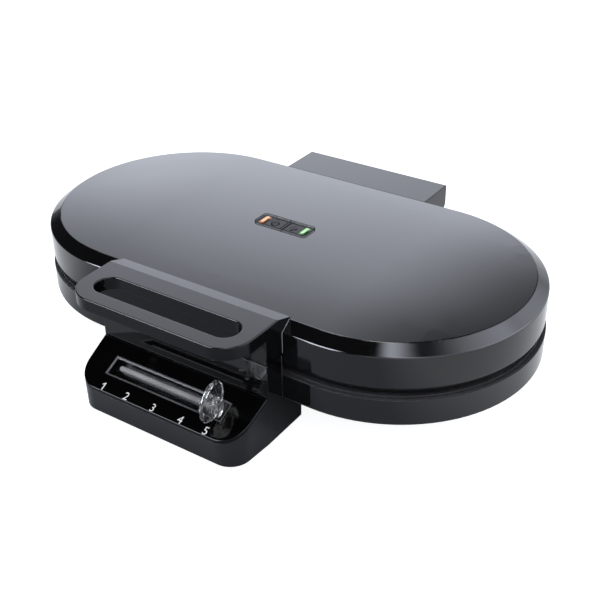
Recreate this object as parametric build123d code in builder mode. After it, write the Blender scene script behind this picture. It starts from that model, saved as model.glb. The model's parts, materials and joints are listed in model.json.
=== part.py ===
from build123d import *
import os
from math import atan2, cos, hypot, pi, radians, sin, tan

# A countertop double waffle maker, closed. Millimetres, +Z up. The long oval body
# lies along X, the handle and the console face -Y, and the hinge is at the rear.
# The origin is on the table, under the middle of the overall box. The body's own
# centre line lies at y = body_y, and reaches are measured from that line.

# Plan sizes
half_straight = 91.5        # from the middle to the centre of each round end
base_r = 106.0              # base wall
lid_in = 1.0                # lid wall, inside the base wall
lid_foot_in = 2.5           # lid's lower edge, drawn in
bevel_w = 8.5               # from the lid wall to the domed top
belly_r = 71.0              # flat underside of the bowl
front_reach = 158.9         # console's front edge
rear_reach = 133.4          # rear faces of the hinge cap and the hinge housing
lid_r = base_r - lid_in
lid_foot_r = lid_r - lid_foot_in
lid_top_r = lid_r - bevel_w
body_y = (front_reach - rear_reach) / 2

# Heights, each counted up from the one before
foot_h = 3.0
belly_gap = 9.5
belly_rise = 18.8
base_wall_h = 19.2
rim_gap = 3.5
lid_flare_h = 5.0
lid_wall_h = 22.4
bevel_h = 5.9
crown_h = 4.7
skirt_z = foot_h
belly_z = skirt_z + belly_gap
base_edge_z = belly_z + belly_rise
base_rim_z = base_edge_z + base_wall_h
lid_rim_z = base_rim_z + rim_gap
lid_wall_z = lid_rim_z + lid_flare_h
lid_edge_z = lid_wall_z + lid_wall_h
lid_top_z = lid_edge_z + bevel_h
crown_z = lid_top_z + crown_h

# Mouldings and fasteners
wall = 2.4
fit_gap = 0.3               # between two mouldings of one body
lid_fit = 0.06              # between the lid and the mouldings screwed to it
soft_edge = 0.8             # broken outer edges
lid_edge = 1.5              # rounding along the lid's bevel
shell_edge = 3.0            # rounding of the shallow bends in both shells
floor_t = 2.0
screw_r = 1.5
screw_fit = 0.05
head_r = 2.8
head_h = 1.6
boss_r = 4.0
screw_l = 10.0

# Baking plates
plate_gap = 0.3             # between the two closed plates
plate_side_gap = 0.4
flange_t = 3.0
well_depth = 8.0
well_wall = 3.0
lobe_ring = 54.0
lobe_r = 25.2
lobe_count = 10
heart_count = 5
peg_size = 8.0
peg_pitch = 13.0
peg_h = 5.0
peg_draft = 10
ridge_w = 3.0
ridge_h = 5.5
groove_r = 97.0
groove_w = 2.0
groove_depth = 1.0
ledge_w = 5.5
post_r = 4.5
post_boss_r = 6.5
post_ring = 92.0            # corner posts, from the centre of each round end
post_mid = 85.0             # middle posts, from the body's centre line
web_t = 3.0

# Heating elements and shields
heater_r = 3.25
heater_ring = 52.0
heater_arc = 300.0
heater_gap = 0.1
pin_r = 1.6
pin_l = 12.0
strap_t = 1.2
strap_w = 10.0
strap_l = 19.0
strap_screw_in = 8.0        # strap screw, inside the heater ring
strap_head_r = 2.4
shield_gap = 3.0
shield_t = 0.6
shield_r = 97.4
shield_rim_h = 4.0
shield_hole_r = 9.0

# Handle, pillar and console
pillar_half = 70.0
pillar_reach = 122.0
pillar_rise = 14.5          # pillar's parting above the base rim
pillar_gap = 0.9
strip_reach = 109.0
strip_over = 1.0            # strip's rear edge, over the domed top
strip_lip = 1.2             # and above the edge of the domed top
handle_reach = 155.3
handle_half = 69.0
handle_corner_r = 20.5
handle_t = 9.0
handle_rise = 5.7           # above the edge of the domed top
slot_l = 116.0
slot_w = 20.3
slot_reach = 133.65
console_half = 68.0
console_corner_r = 20.0
console_foot_corner_r = 15.0
console_foot_in = 2.7       # console front, drawn in at its foot
console_side_in = 0.6
console_rear_reach = 84.0
console_screw_front = 14.0
console_screw_rear = 12.0
panel_drop = 9.7            # top of the panel below the base rim
panel_tilt = 25.2
panel_t = 2.5

# Slide control, on the sloping panel
tray_half = 49.5
tray_w = 14.7
tray_s = -19.65             # middle of the tray, down the slope from the pillar
tray_depth = 9.0
tray_wall = 1.2
tray_chamfer = 0.7
rail_r = 1.95
rail_half = 43.5
rail_s = -18.4
rail_n = -3.1               # rail's axis, below the panel's face
rail_web = 1.6
travel = 88.0
running_gap = 0.08
carriage_half = 4.0
carriage_top = 1.8
carriage_rear = 1.5
leg_t = 3.0
leg_gap = 0.4
leg_end = -14.0
blade_t = 1.2
blade_w = 6.0
blade_h = 7.0
knob_t = 3.0
knob_long = 14.3            # half lengths of the knob's oval plate
knob_short = 11.2
knob_lean = 36.7            # turn of the oval, from up the slope
knob_s = -21.3
knob_n = 13.2               # knob's centre above the panel's face
knob_chamfer = 1.0
knob_rim = 1.9
dent_depth = 0.8
dent_low = -6.8             # bridge between the dents, along the oval
dent_high = 3.2
hub_long = 8.0              # half lengths of the hub on the knob's right face
hub_short = 5.5
hub_lean = 59.0
hub_s = -21.7
hub_n = 9.5
hub_l = 3.5
hub_edge = 1.2
wiper_half = 3.0
wiper_w = 5.0
wiper_h = 1.5
pot_half = 49.5
pot_w = 9.6
pot_top = -11.0
pot_h = 7.0
pot_wall = 1.4
board_t = 1.6
board_half = 57.5
board_front = -30.0
board_rear = -2.0
standoff_r = 2.6
standoff_x = 54.0
standoff_front = -28.0
standoff_rear = -6.0

# Rear hinge
hinge_half = 64.0
cap_drop = 0.1              # cap's top below the edge of the domed top
cap_over = 1.0              # cap's front edge, inside the edge of the domed top
cap_face_h = 15.0
cap_slant = 53.3
cap_sole = 1.0              # cap's lower edge above the lid's rim
open_angle = 100.0
stop_gap = 0.8
hinge_reach = 112.25
hinge_rise = 11.5           # hinge axis above the base rim
ear_r = 6.5
ear_t = 3.0
ear_x = 47.0
ear_gap = 0.4
ear_neck = 3.0
hinge_pin_r = 2.5
hinge_head_r = 4.0
hinge_head_t = 1.6
pin_press = 0.02
pin_running = 0.06
clip_r = 4.6
clip_t = 0.8
flange_w = 14.0
flange_screws = (0.3, 0.7)    # across the flange
flange_h = 12.0
flange_sheet = 2.0
flange_z = 32.0
arm_flange_h = 11.0
cap_screw_in = 22.0
handle_screws_out = (25.0, 55.0)
handle_screw_drop = 7.0
inlet_x = 40.0
inlet_rise = 15.0
inlet_bore_r = 3.6
inlet_body_r = 6.0
inlet_flange_r = 8.5
inlet_flange_t = 1.5
inlet_l = 9.0

# Feet
foot_r = 8.0
foot_x = 52.0
front_foot_in = 13.9        # from the console front
rear_foot_in = 15.9         # from the rear face
foot_pocket = 1.8

# Wires
wire_r = 2.5
wire_bend = 14.0
wire_tight_bend = 6.0
wire_hole_gap = 1.0
wire_z = 23.6
wire_x = 22.0
hinge_wire_x = 12.0
wire_end_gap = 0.3

# Signal window
window_l = 45.0
window_w = 16.0
window_corner_r = 3.0
window_fit = 0.15
window_sink = 0.12
window_rim = 2.0
window_rim_t = 1.2
lens_l = 4.5
lens_w = 11.5
lens_x = 17.5
lamp_r = 2.5
lamp_h = 5.5
lamp_board_l = 52.0
lamp_board_w = 18.0
lamp_post_r = 2.0
lamp_post_x = 22.3
lamp_post_l = 6.7
lamp_hole_r = 1.05

# Levels and places worked out from the sizes
parting_z = base_rim_z + rim_gap / 2
lower_face_z = parting_z - plate_gap / 2
upper_face_z = parting_z + plate_gap / 2
lower_ledge_z = lower_face_z - flange_t
upper_ledge_z = upper_face_z + flange_t
lower_well_z = lower_face_z - well_depth
upper_well_z = upper_face_z + well_depth
lower_under_z = lower_well_z - well_wall
upper_over_z = upper_well_z + well_wall
lower_heater_z = lower_under_z - heater_gap - heater_r
upper_heater_z = upper_over_z + heater_gap + heater_r
lower_strap_z = lower_heater_z - heater_r - strap_t
upper_strap_z = upper_heater_z + heater_r
lower_shield_z = lower_strap_z - shield_gap - shield_t
upper_shield_z = upper_strap_z + strap_t + shield_gap
lower_plate_r = base_r - wall - plate_side_gap
upper_plate_r = lid_foot_r - wall - plate_side_gap
pillar_y = body_y - pillar_reach
pillar_top_z = base_rim_z + pillar_rise
panel_z = base_rim_z - panel_drop
handle_z = lid_top_z + handle_rise
console_front_y = body_y - front_reach
console_rear_y = body_y - console_rear_reach
rear_y = body_y + rear_reach
lid_front_y = body_y - lid_r
lid_rear_y = body_y + lid_r
base_rear_y = body_y + base_r
hinge_y = body_y + hinge_reach
hinge_z = base_rim_z + hinge_rise
knob_x = travel / 2
post_diagonal = post_ring * sin(radians(45))
post_spots = [
    (sx * (half_straight + post_diagonal), body_y + sy * post_diagonal) for sx in (-1, 1) for sy in (-1, 1)
] + [(0, body_y + sy * post_mid) for sy in (-1, 1)]

os.makedirs("parts", exist_ok=True)


def keep(piece, name):
    """Label a finished piece and write it to a file of its own."""
    piece.part.label = name
    export_step(piece.part, f"parts/{name}.step")


def inner_line(points, depth):
    """Open outline moved to its left by depth, with mitred corners."""
    normals = []
    for (x0, y0), (x1, y1) in zip(points, points[1:]):
        run = hypot(x1 - x0, y1 - y0)
        normals.append(((y0 - y1) / run, (x1 - x0) / run))
    moved = []
    for i, (x, y) in enumerate(points):
        before = normals[max(i - 1, 0)]
        after = normals[min(i, len(normals) - 1)]
        reach = depth / (1 + before[0] * after[0] + before[1] * after[1])
        moved.append((x + (before[0] + after[0]) * reach, y + (before[1] + after[1]) * reach))
    return moved


def sweep_oval(section, mode=Mode.ADD):
    """Carry a section, drawn as radius and height, once round the long oval."""
    for side in (1, -1):
        end = Plane(origin=(side * half_straight, body_y, 0), x_dir=(0, -side, 0), z_dir=(-side, 0, 0))
        with BuildSketch(end) as cut:
            add(section.sketch)
        revolve(cut.sketch, axis=Axis(end.origin, (0, 0, 1)), revolution_arc=180, mode=mode)
        extrude(cut.sketch, amount=2 * half_straight, mode=mode)


def oval(radius):
    """Long oval of the given end radius, in the active sketch."""
    with Locations((0, body_y)):
        SlotCenterToCenter(2 * half_straight, 2 * radius)


def side_plane(x):
    """Plane across the body, drawn as y and z, facing +X."""
    return Plane(origin=(x, 0, 0), x_dir=(0, 1, 0), z_dir=(1, 0, 0))


def slope_plane(n):
    """Plane along the sloping panel at height n over its face, drawn as x and slope."""
    slope = Plane(origin=(0, pillar_y, panel_z), x_dir=(1, 0, 0), z_dir=(0, -sin(tilt), cos(tilt)))
    return slope.offset(n)


def slope_section(x):
    """Plane across the panel at x, drawn as slope and height over its face."""
    return Plane(origin=(x, pillar_y, panel_z), x_dir=(0, cos(tilt), sin(tilt)), z_dir=(1, 0, 0))


def slope_point(x, s, n):
    """Point at x, s up the slope and n over the panel's face."""
    return (x, pillar_y + s * cos(tilt) - n * sin(tilt), panel_z + s * sin(tilt) + n * cos(tilt))


def facing(y, towards):
    """Plane at y that faces forwards (-1) or backwards (1), drawn as x and z."""
    return Plane(origin=(0, y, 0), x_dir=(-towards, 0, 0), z_dir=(0, towards, 0))


def opened(y, z, angle):
    """Where a point of the closed lid lies once the lid is open by an angle."""
    turn = radians(angle)
    dy = y - hinge_y
    dz = z - hinge_z
    return (hinge_y + dy * cos(turn) + dz * sin(turn), hinge_z - dy * sin(turn) + dz * cos(turn))


def screws(name, spots, length, head=head_r):
    """Pan head screws as one group. Each spot is the point under the head and the way in."""
    with BuildPart() as group:
        for point, way in spots:
            with BuildSketch(Plane(origin=point, z_dir=way)):
                Circle(screw_r)
            extrude(amount=length)
            with BuildSketch(Plane(origin=point, z_dir=way)):
                Circle(head)
            extrude(amount=-head_h)
    keep(group, name)


def tube(points, radius, bend):
    """Round wire along straight runs joined by arcs, added to the active part."""
    with BuildLine() as route:
        FilletPolyline(*points, radius=bend)
    path = route.line
    with BuildSketch(Plane(origin=path @ 0, z_dir=path % 0)) as end:
        Circle(radius)
    sweep(end.sketch, path=path)


tilt = radians(panel_tilt)
hole_r = screw_r + screw_fit

# Sections of the bowl and the lid, as radius and height
base_outline = [(0, belly_z), (belly_r, belly_z), (base_r, base_edge_z), (base_r, base_rim_z)]
base_inside = inner_line(base_outline, wall)
lid_outline = [(lid_foot_r, lid_rim_z), (lid_r, lid_wall_z), (lid_r, lid_edge_z), (lid_top_r, lid_top_z)]
lid_inside = inner_line(lid_outline + [(0, crown_z)], wall)[:-1]
base_bends = [(base_outline[1], shell_edge), (base_outline[2], shell_edge)]
lid_bends = [(lid_outline[1], shell_edge), (lid_outline[2], lid_edge), (lid_outline[3], lid_edge)]


def soften(section, corners):
    """Round the corners of a section, each given as a point and a radius."""
    for point, radius in corners:
        fillet(section.vertices().sort_by_distance((*point, 0))[0], radius)


with BuildSketch() as base_section:
    Polygon(*base_outline, *reversed(base_inside), align=None)
    soften(base_section, base_bends)
    soften(base_section, [(base_outline[3], soft_edge)])
    Polygon(
        (base_r - wall / 2, lower_ledge_z),
        (base_r - wall - ledge_w, lower_ledge_z),
        (base_r - wall / 2, lower_ledge_z - ledge_w - wall / 2),
        align=None,
    )

with BuildSketch() as base_fill:
    Polygon(*base_outline, (0, base_rim_z), align=None)
    soften(base_fill, base_bends)

clear_top_z = pillar_top_z + 1
with BuildSketch() as base_clearance:
    Polygon(
        *inner_line(base_outline, -fit_gap)[:-1],
        (base_r + fit_gap, clear_top_z),
        (0, clear_top_z),
        align=None,
    )

with BuildSketch() as lid_section:
    with BuildLine():
        Polyline(*lid_outline)
        TangentArc((0, crown_z), lid_outline[-1], tangent=(1, 0))
        Line((0, crown_z), (0, crown_z - wall))
        TangentArc((0, crown_z - wall), lid_inside[-1], tangent=(1, 0))
        Polyline(*lid_inside)
        Line(lid_inside[0], lid_outline[0])
    make_face()
    soften(lid_section, lid_bends)
    soften(lid_section, [(lid_outline[0], soft_edge)])
    Polygon(
        (lid_foot_r - wall / 2, upper_ledge_z),
        (lid_foot_r - wall - ledge_w, upper_ledge_z),
        (lid_r - wall / 2, upper_ledge_z + ledge_w + wall),
        align=None,
    )

with BuildSketch() as lid_clearance:
    Polygon(
        (0, lid_rim_z - 1),
        (lid_r + lid_fit, lid_rim_z - 1),
        *inner_line(lid_outline, -lid_fit)[2:],
        (0, lid_top_z + lid_fit),
        align=None,
    )

with BuildPart() as bowl_solid:
    sweep_oval(base_fill)

with BuildPart() as bowl_space:
    sweep_oval(base_clearance)

with BuildPart() as lid_space:
    sweep_oval(lid_clearance)

# Bowl of the base
bracket_screw_z = flange_z + flange_h / 2
bracket_screw_x = [ear_x - flange_w * part for part in flange_screws]
bowl_screw_x = [side * x for side in (-1, 1) for x in bracket_screw_x]
post_seat_z = lower_shield_z
screw_web_z = post_seat_z - web_t

with BuildPart() as base_shell:
    sweep_oval(base_section)
    with BuildSketch(Plane.XY.offset(belly_z)):
        with Locations(*post_spots):
            Circle(post_boss_r)
    extrude(amount=post_seat_z - belly_z)
    add(bowl_solid.part, mode=Mode.INTERSECT)
    with BuildSketch(facing(base_rear_y - wall, -1)):
        with Locations(*[(x, bracket_screw_z) for x in bowl_screw_x]):
            Circle(boss_r)
    extrude(amount=screw_l - wall)
    with BuildSketch(Plane.XY):
        with Locations(*post_spots):
            Circle(boss_r)
    extrude(amount=screw_web_z, mode=Mode.SUBTRACT)
    with BuildSketch(Plane.XY):
        with Locations(*post_spots):
            Circle(hole_r)
    extrude(amount=post_seat_z, mode=Mode.SUBTRACT)
    with BuildSketch(facing(base_rear_y, -1)):
        with Locations(*[(x, bracket_screw_z) for x in bowl_screw_x]):
            Circle(hole_r)
    extrude(amount=screw_l, mode=Mode.SUBTRACT)
    with BuildSketch(facing(base_rear_y, -1)):
        with Locations((-wire_x, wire_z), (wire_x, wire_z)):
            Circle(wire_r + wire_hole_gap)
    extrude(amount=2 * base_r, mode=Mode.SUBTRACT)
keep(base_shell, "base_shell")

# Console block, tapering a little towards its foot
console_h = panel_z - skirt_z


def console_outline(z, inset, rear_inset):
    """Plan outline of the console at a height, drawn in from its outer face."""
    rise = (z - skirt_z) / console_h
    half = pillar_half - console_side_in * (1 - rise) - inset
    front_half = console_half - console_side_in * (1 - rise) - inset
    front_y = console_front_y + console_foot_in * (1 - rise) + inset
    corner = console_foot_corner_r + (console_corner_r - console_foot_corner_r) * rise - inset
    with BuildSketch(Plane.XY.offset(z)) as outline:
        with BuildLine():
            Polyline(
                (-half, console_rear_y + rear_inset),
                (-half, pillar_y),
                (-front_half, front_y),
                (front_half, front_y),
                (half, pillar_y),
                (half, console_rear_y + rear_inset),
                close=True,
            )
        make_face()
        fillet(outline.vertices().group_by(Axis.Y)[0], corner)
    return outline.sketch


def under_slope(n, depth):
    """Slab under the sloping panel's plane, ahead of the pillar, as a private solid."""
    with BuildPart() as slab:
        with BuildSketch(slope_section(-2 * pillar_half)):
            with Locations((0, n)):
                Rectangle(2 * front_reach, depth, align=(Align.CENTER, Align.MAX))
        extrude(amount=4 * pillar_half)
        with BuildSketch(side_plane(-2 * pillar_half)):
            with Locations((pillar_y, 0)):
                Rectangle(front_reach, 4 * front_reach, align=(Align.MAX, Align.CENTER))
        extrude(amount=4 * pillar_half, mode=Mode.INTERSECT)
    return slab.part


with BuildPart() as console_block:
    loft([console_outline(skirt_z, 0, 0), console_outline(panel_z, 0, 0)])

with BuildPart() as console_hollow:
    loft([console_outline(skirt_z, wall, wall), console_outline(panel_z, wall, wall)])

floor_boss_x = pillar_half - console_side_in - wall - boss_r + fit_gap
console_screw_y = (pillar_y - console_screw_front, console_rear_y - console_screw_rear)
console_screw_spots = [(side * floor_boss_x, y) for side in (-1, 1) for y in console_screw_y]
floor_boss_h = screw_l - floor_t

with BuildPart() as console_housing:
    add(console_block.part)
    with BuildSketch(side_plane(-2 * pillar_half)):
        Polygon(
            (pillar_y, panel_z),
            (pillar_y, 2 * crown_z),
            (pillar_y - front_reach, 2 * crown_z),
            (pillar_y - front_reach, panel_z - front_reach * tan(tilt)),
            align=None,
        )
    extrude(amount=4 * pillar_half, mode=Mode.SUBTRACT)
    with BuildSketch(Plane.XY.offset(panel_z - panel_t)):
        with Locations((0, pillar_y)):
            Rectangle(2 * pillar_half, pillar_reach - belly_r, align=(Align.CENTER, Align.MIN))
    extrude(amount=pillar_top_z - panel_z + panel_t)
    add(console_hollow.part, mode=Mode.SUBTRACT)
    with BuildSketch(Plane.XY.offset(skirt_z + floor_t)):
        with Locations((0, pillar_y + wall)):
            Rectangle(2 * (pillar_half - wall), pillar_reach, align=(Align.CENTER, Align.MIN))
        with Locations((0, console_rear_y - wall)):
            Rectangle(4 * pillar_half, pillar_reach, align=(Align.CENTER, Align.MIN), mode=Mode.SUBTRACT)
    extrude(amount=pillar_top_z - wall - skirt_z - floor_t, mode=Mode.SUBTRACT)
    add(under_slope(0, panel_t), mode=Mode.SUBTRACT)
    with BuildSketch(Plane.XY.offset(skirt_z + floor_t)):
        with Locations(*console_screw_spots):
            Circle(boss_r)
            Circle(hole_r, mode=Mode.SUBTRACT)
    extrude(amount=floor_boss_h)
    add(bowl_space.part, mode=Mode.SUBTRACT)
keep(console_housing, "console_housing")

# Sloping panel of the console
out_way = (0, -sin(tilt), cos(tilt))
out_axis = Axis((0, 0, 0), out_way)
board_top = pot_top - pot_h
tray_spot = (0, tray_s)
standoffs = [(side * standoff_x, s) for side in (-1, 1) for s in (standoff_front, standoff_rear)]

with BuildPart() as console_panel:
    add(console_block.part)
    add(under_slope(0, panel_t), mode=Mode.INTERSECT)
    panel_face = console_panel.faces().filter_by(slope_plane(0)).sort_by(out_axis)[-1]
    fillet(panel_face.edges(), soft_edge)
    with BuildSketch(slope_plane(0)):
        with Locations(tray_spot):
            Rectangle(2 * (tray_half + window_fit), tray_w + 2 * window_fit)
    extrude(amount=-2 * panel_t, mode=Mode.SUBTRACT)
    with BuildSketch(slope_plane(-panel_t)):
        with Locations(*standoffs):
            Circle(standoff_r)
    extrude(amount=board_top + panel_t)
    with BuildSketch(slope_plane(board_top)):
        with Locations(*standoffs):
            Circle(hole_r)
    extrude(amount=screw_l, mode=Mode.SUBTRACT)
keep(console_panel, "console_panel")

# Sunken tray round the slide control, with the web that carries the rail
with BuildPart() as slot_trim:
    with BuildSketch(slope_plane(0)):
        with Locations(tray_spot):
            Rectangle(2 * tray_half, tray_w)
    extrude(amount=-tray_depth)
    with BuildSketch(slope_plane(0)):
        with Locations(tray_spot):
            Rectangle(2 * (tray_half - tray_wall), tray_w - 2 * tray_wall)
    extrude(amount=tray_wall - tray_depth, mode=Mode.SUBTRACT)
    tray_face = slot_trim.faces().filter_by(slope_plane(0)).sort_by(out_axis)[-1]
    chamfer(tray_face.inner_wires().edges(), tray_chamfer)
    with BuildSketch(slope_plane(-tray_depth)):
        with Locations((0, rail_s)):
            Rectangle(2 * rail_half - rail_r, rail_web)
    extrude(amount=tray_depth + rail_n)
    with BuildSketch(slope_section(-tray_half)):
        with Locations((rail_s, rail_n)):
            Circle(rail_r)
    extrude(amount=2 * tray_half, mode=Mode.SUBTRACT)
    with BuildSketch(slope_plane(-2 * tray_depth)):
        with Locations((0, rail_s - rail_r - leg_gap - leg_t / 2)):
            Rectangle(travel + 2 * (carriage_half + leg_gap), leg_t + 2 * leg_gap)
    extrude(amount=2 * tray_depth + rail_n - 2 * rail_r, mode=Mode.SUBTRACT)
keep(slot_trim, "slot_trim")

with BuildPart() as guide_rail:
    with BuildSketch(slope_section(-rail_half)):
        with Locations((rail_s, rail_n)):
            Circle(rail_r)
    extrude(amount=2 * rail_half)
    fillet(guide_rail.edges().filter_by(GeomType.CIRCLE), rail_r - running_gap)
keep(guide_rail, "guide_rail")

# Slide pot on its board, under the tray
leg_front = rail_s - rail_r - leg_gap - leg_t
leg_mid = leg_front + leg_t / 2

with BuildPart() as slide_pot:
    with BuildSketch(slope_section(-pot_half)):
        with Locations((leg_mid, pot_top)):
            Rectangle(pot_w, pot_h, align=(Align.CENTER, Align.MAX))
    extrude(amount=2 * pot_half)
    with BuildSketch(slope_section(pot_wall - pot_half)):
        with Locations((leg_mid, pot_top)):
            Rectangle(leg_t + 2 * leg_gap, pot_wall + leg_gap, align=(Align.CENTER, Align.MAX))
        with Locations((leg_mid, pot_top - pot_wall)):
            Rectangle(pot_w - 2 * pot_wall, pot_h - 2 * pot_wall, align=(Align.CENTER, Align.MAX))
    extrude(amount=2 * (pot_half - pot_wall), mode=Mode.SUBTRACT)
keep(slide_pot, "slide_pot")

with BuildPart() as control_board:
    with BuildSketch(slope_plane(board_top)):
        with Locations((0, board_front)):
            Rectangle(2 * board_half, board_rear - board_front, align=(Align.CENTER, Align.MIN))
        with Locations(*standoffs):
            Circle(hole_r, mode=Mode.SUBTRACT)
    extrude(amount=-board_t)
keep(control_board, "control_board")

board_spots = [(slope_point(x, s, board_top - board_t), out_way) for x, s in standoffs]
screws("board_screws", board_spots, screw_l - head_h)


def on_board(name, x, size):
    """Boxed component on the board, behind the tray."""
    length, width, height = size
    with BuildPart() as component:
        with BuildSketch(slope_plane(board_top)):
            with Locations((x, board_rear - leg_gap)):
                Rectangle(length, width, align=(Align.CENTER, Align.MAX))
        extrude(amount=height)
        fillet(component.edges().filter_by(out_axis), soft_edge)
    keep(component, name)


relay_size = (20.0, 9.0, 10.0)
terminal_size = (26.0, 9.0, 8.0)
relay_x = -40.0
on_board("relay", relay_x, relay_size)
on_board("terminal_block", wire_x, terminal_size)

# Sliding parts of the control, at the hottest mark
with BuildPart() as slider_carriage:
    with BuildSketch(slope_section(knob_x - carriage_half)):
        Polygon(
            (leg_front, leg_end),
            (leg_front + leg_t, leg_end),
            (leg_front + leg_t, rail_n - carriage_top),
            (rail_s + rail_r + carriage_rear, rail_n - carriage_top),
            (rail_s + rail_r + carriage_rear, carriage_top),
            (leg_front, carriage_top),
            align=None,
        )
        with Locations((rail_s, rail_n)):
            Circle(rail_r + running_gap, mode=Mode.SUBTRACT)
            Rectangle(rail_web + 2 * fit_gap, 2 * rail_r + carriage_top, align=(Align.CENTER, Align.MAX),
                      mode=Mode.SUBTRACT)
    extrude(amount=2 * carriage_half)
    with BuildSketch(slope_section(knob_x - blade_t / 2)):
        with Locations((rail_s, carriage_top)):
            Rectangle(blade_w, blade_h, align=(Align.CENTER, Align.MIN))
    extrude(amount=blade_t)
keep(slider_carriage, "slider_carriage")

with BuildPart() as pot_wiper:
    with BuildSketch(slope_section(knob_x - wiper_half)):
        with Locations((leg_mid, leg_end)):
            Rectangle(wiper_w, wiper_h, align=(Align.CENTER, Align.MAX))
    extrude(amount=2 * wiper_half)
keep(pot_wiper, "pot_wiper")

# Clear knob: a leaning oval plate with two dents, and a hub where it holds the blade
knob_face_x = knob_x + knob_t / 2
knob_centre = (knob_s, knob_n)

with BuildPart() as knob_hub:
    with BuildSketch(slope_section(knob_face_x - dent_depth)):
        with Locations((hub_s, hub_n)):
            Ellipse(hub_long, hub_short, rotation=hub_lean)
    extrude(amount=dent_depth + hub_l)
    fillet(knob_hub.faces().sort_by(Axis.X)[-1].edges(), hub_edge)

with BuildPart() as slider_knob:
    with BuildSketch(slope_section(knob_x - knob_t / 2)):
        with Locations(knob_centre):
            Ellipse(knob_long, knob_short, rotation=knob_lean)
    extrude(amount=knob_t)
    rims = slider_knob.faces().filter_by(Plane.YZ).edges()
    chamfer(rims, knob_chamfer)
    with BuildSketch(slope_section(knob_face_x)) as dents:
        with Locations(knob_centre):
            Ellipse(knob_long - knob_rim, knob_short - knob_rim, rotation=knob_lean)
            bridge_mid = (dent_low + dent_high) / 2
            bridge_turn = radians(knob_lean)
            with Locations((bridge_mid * cos(bridge_turn), bridge_mid * sin(bridge_turn))):
                Rectangle(dent_high - dent_low, 2 * knob_long, rotation=knob_lean, mode=Mode.SUBTRACT)
    extrude(dents.sketch, amount=-dent_depth, mode=Mode.SUBTRACT)
    add(knob_hub.part)
    with BuildSketch(slope_section(knob_x - 2 * knob_t)):
        with Locations((knob_s, carriage_top)):
            Rectangle(4 * knob_long, 4 * knob_long, align=(Align.CENTER, Align.MAX))
    extrude(amount=4 * knob_t, mode=Mode.SUBTRACT)
    with BuildSketch(slope_section(knob_x - blade_t / 2 - pin_running)):
        with Locations((rail_s, carriage_top)):
            Rectangle(blade_w + 2 * pin_running, blade_h + pin_running, align=(Align.CENTER, Align.MIN))
    extrude(amount=blade_t + 2 * pin_running, mode=Mode.SUBTRACT)
keep(slider_knob, "slider_knob")

# Bottom covers and feet
console_feet = [(side * foot_x, console_front_y + front_foot_in) for side in (-1, 1)]
hinge_feet = [(side * foot_x, rear_y - rear_foot_in) for side in (-1, 1)]
hinge_boss_x = hinge_half - wall - boss_r + fit_gap
housing_front_y = body_y + console_rear_reach
hinge_screw_spots = [
    (side * hinge_boss_x, y)
    for side in (-1, 1)
    for y in (housing_front_y + wall + boss_r - fit_gap, rear_y - wall - boss_r + fit_gap)
]
foot_boss_h = 4.0


def finish_floor(feet, fixings):
    """Foot bosses and screw holes of a bottom cover, in the active part."""
    with BuildSketch(Plane.XY.offset(skirt_z)) as bosses:
        with Locations(*feet):
            Circle(boss_r)
    extrude(bosses.sketch, amount=floor_t + foot_boss_h)
    with BuildSketch(Plane.XY.offset(skirt_z)) as holes:
        with Locations(*feet, *fixings):
            Circle(hole_r)
    extrude(holes.sketch, amount=floor_t + foot_boss_h, mode=Mode.SUBTRACT)


with BuildPart() as console_floor:
    add(console_outline(skirt_z, wall + window_fit, wall + window_fit))
    extrude(amount=floor_t)
    finish_floor(console_feet, console_screw_spots)
keep(console_floor, "console_floor")

with BuildPart() as hinge_floor:
    with BuildSketch(Plane.XY.offset(skirt_z)):
        with Locations((0, housing_front_y + wall + window_fit)):
            Rectangle(
                2 * (hinge_half - wall - window_fit),
                rear_y - housing_front_y - 2 * (wall + window_fit),
                align=(Align.CENTER, Align.MIN),
            )
    extrude(amount=floor_t)
    finish_floor(hinge_feet, hinge_screw_spots)
keep(hinge_floor, "hinge_floor")


def feet(name, spots):
    """Pair of rubber feet with a pocket for the screw."""
    with BuildPart() as pair:
        with BuildSketch(Plane.XY):
            with Locations(*spots):
                Circle(foot_r)
        extrude(amount=foot_h)
        fillet(pair.edges().group_by(Axis.Z)[0], soft_edge)
        with BuildSketch(Plane.XY):
            with Locations(*spots):
                Circle(boss_r)
        extrude(amount=foot_pocket, mode=Mode.SUBTRACT)
        with BuildSketch(Plane.XY):
            with Locations(*spots):
                Circle(hole_r)
        extrude(amount=foot_h, mode=Mode.SUBTRACT)
    keep(pair, name)


up = (0, 0, 1)
feet("front_feet", console_feet)
feet("rear_feet", hinge_feet)
screws("foot_screws", [((x, y, foot_pocket), up) for x, y in console_feet + hinge_feet], foot_h + foot_boss_h)
screws("console_screws", [((x, y, skirt_z), up) for x, y in console_screw_spots], screw_l - head_h)
screws("housing_screws", [((x, y, skirt_z), up) for x, y in hinge_screw_spots], screw_l - head_h)

# Cap over the hinge and the housing under it, shaped so that they meet with the lid open
cap_z = lid_top_z - cap_drop
cap_front_y = body_y + lid_top_r - cap_over
cap_foot_z = cap_z - cap_face_h
cap_sole_z = lid_rim_z + cap_sole
cap_sole_y = rear_y - (cap_foot_z - cap_sole_z) / tan(radians(cap_slant))
open_cap = [
    opened(rear_y, cap_z, open_angle),
    opened(rear_y, cap_foot_z, open_angle),
    opened(cap_sole_y, cap_sole_z, open_angle),
]
deck = inner_line(open_cap, stop_gap)
deck_rise = (deck[0][1] - deck[1][1]) / (deck[0][0] - deck[1][0])
deck_rear_z = deck[1][1] + (rear_y - deck[1][0]) * deck_rise
inlet_z = skirt_z + inlet_rise
housing_back = [(rear_y, skirt_z), (rear_y, deck_rear_z), deck[1], deck[2]]
housing_hollow = inner_line([(rear_y, 0), *housing_back[1:]], wall)

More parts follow.
